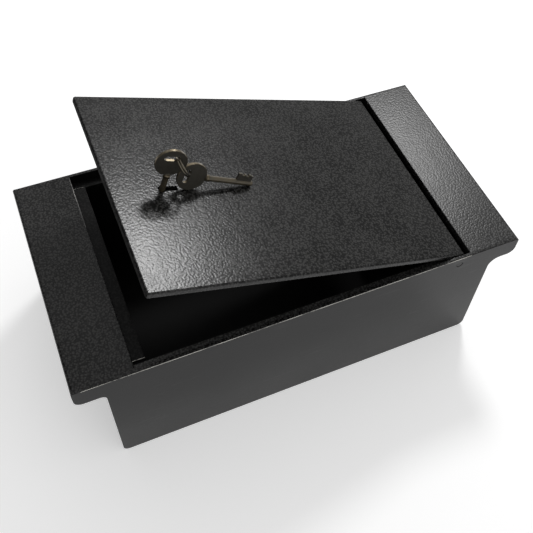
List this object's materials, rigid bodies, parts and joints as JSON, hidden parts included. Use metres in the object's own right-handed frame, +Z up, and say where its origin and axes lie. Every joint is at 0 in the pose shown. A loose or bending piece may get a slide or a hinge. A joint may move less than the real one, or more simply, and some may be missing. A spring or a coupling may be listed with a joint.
{
  "type": "floor safe",
  "caption": "Steel floor safe hung between floor joists by its shoulders, with a recessed hinged lid, a lever key lock and keys on a split ring.",
  "frame": {"origin": "centre of the flat bottom of the box", "axes": "+X along the length towards the hinge, +Y from the front plate to the back plate, +Z up out of the floor"},
  "size_m": [0.395, 0.21, 0.2498],
  "materials": {
    "satin_black": "fine satin black powder coat",
    "hammered_black": "hammered black powder coat",
    "lock_steel": "zinc plated and brushed",
    "hardened_steel": "ground hardened steel",
    "lever_brass": "stamped brass",
    "key_metal": "tumbled nickel brass",
    "spring_steel": "bright nickel plated spring wire"
  },
  "bodies": {
    "box": {"front_plate": "satin_black", "back_plate": "satin_black", "body_pan": "satin_black", "left_top_plate": "hammered_black", "right_top_plate": "hammered_black", "left_ledge": "hammered_black", "front_strip": "hammered_black", "back_strip": "hammered_black"},
    "lid": {"lid_plate": "hammered_black", "hinge_rod": "satin_black", "hard_plate": "hardened_steel", "lock_case": "lock_steel", "lock_cover": "lock_steel", "cover_screw_1": "lock_steel", "cover_screw_2": "lock_steel", "cover_screw_3": "lock_steel", "cover_screw_4": "lock_steel", "lever_post": "lock_steel", "bolt_guide_post": "lock_steel", "lever_spring": "spring_steel"},
    "bolt": {"lock_bolt": "lock_steel", "bolt_hard_pin_1": "hardened_steel", "bolt_hard_pin_2": "hardened_steel", "bolt_stump": "hardened_steel"},
    "barrel": {"key_barrel": "lever_brass"},
    "key": {"lock_key": "key_metal"},
    "ring": {"split_ring": "spring_steel"},
    "spare": {"spare_key": "key_metal"},
    "lever_1": {"lever_1": "lever_brass"},
    "lever_2": {"lever_2": "lever_brass"},
    "lever_3": {"lever_3": "lever_brass"},
    "lever_4": {"lever_4": "lever_brass"},
    "lever_5": {"lever_5": "lever_brass"}
  },
  "joints": [
    {"name": "lid_hinge", "type": "hinge", "parent": "box", "child": "lid", "pos_m": [0.1385, 0, 0.1229], "axis": [0, 1, 0], "range_deg": [-19.04, 74.96]},
    {"name": "key_turn", "type": "hinge", "parent": "lid", "child": "barrel", "pos_m": [-0.0983, -0.006, 0.18468], "axis": [0.3262, 0, 0.9453], "range_deg": [0, 360]},
    {"name": "bolt_slide", "type": "slide", "parent": "lid", "child": "bolt", "axis": [-0.9453, 0, 0.3262], "range_m": [0, 0.012]},
    {"name": "lever_1_lift", "type": "hinge", "parent": "lid", "child": "lever_1", "pos_m": [-0.06164, 0.013, 0.18361], "axis": [-0.3262, 0, -0.9453], "range_deg": [0, 4], "stiffness_Nm_per_rad": 0.012, "springref_deg": -17.19},
    {"name": "lever_2_lift", "type": "hinge", "parent": "lid", "child": "lever_2", "pos_m": [-0.06164, 0.013, 0.18361], "axis": [-0.3262, 0, -0.9453], "range_deg": [0, 4], "stiffness_Nm_per_rad": 0.012, "springref_deg": -17.19},
    {"name": "lever_3_lift", "type": "hinge", "parent": "lid", "child": "lever_3", "pos_m": [-0.06164, 0.013, 0.18361], "axis": [-0.3262, 0, -0.9453], "range_deg": [0, 4], "stiffness_Nm_per_rad": 0.012, "springref_deg": -17.19},
    {"name": "lever_4_lift", "type": "hinge", "parent": "lid", "child": "lever_4", "pos_m": [-0.06164, 0.013, 0.18361], "axis": [-0.3262, 0, -0.9453], "range_deg": [0, 4], "stiffness_Nm_per_rad": 0.012, "springref_deg": -17.19},
    {"name": "lever_5_lift", "type": "hinge", "parent": "lid", "child": "lever_5", "pos_m": [-0.06164, 0.013, 0.18361], "axis": [-0.3262, 0, -0.9453], "range_deg": [0, 4], "stiffness_Nm_per_rad": 0.012, "springref_deg": -17.19},
    {"name": "key_slide", "type": "slide", "parent": "barrel", "child": "key", "axis": [0.3262, 0, 0.9453], "range_m": [0, 0.042]},
    {"name": "ring_swing", "type": "hinge", "parent": "key", "child": "ring", "pos_m": [-0.07489, -0.00635, 0.24029], "axis": [0.0501, 0.9974, 0.0516], "range_deg": [-150, 0]},
    {"name": "spare_key_swing", "type": "hinge", "parent": "ring", "child": "spare", "pos_m": [-0.06774, -0.0058, 0.22269], "axis": [0.0501, 0.9974, 0.0516], "range_deg": [-50, 0]}
  ],
  "couplings": [
    {"joint": "bolt_slide", "follows": "key_turn", "m_per_rad": 0.0019098}
  ]
}
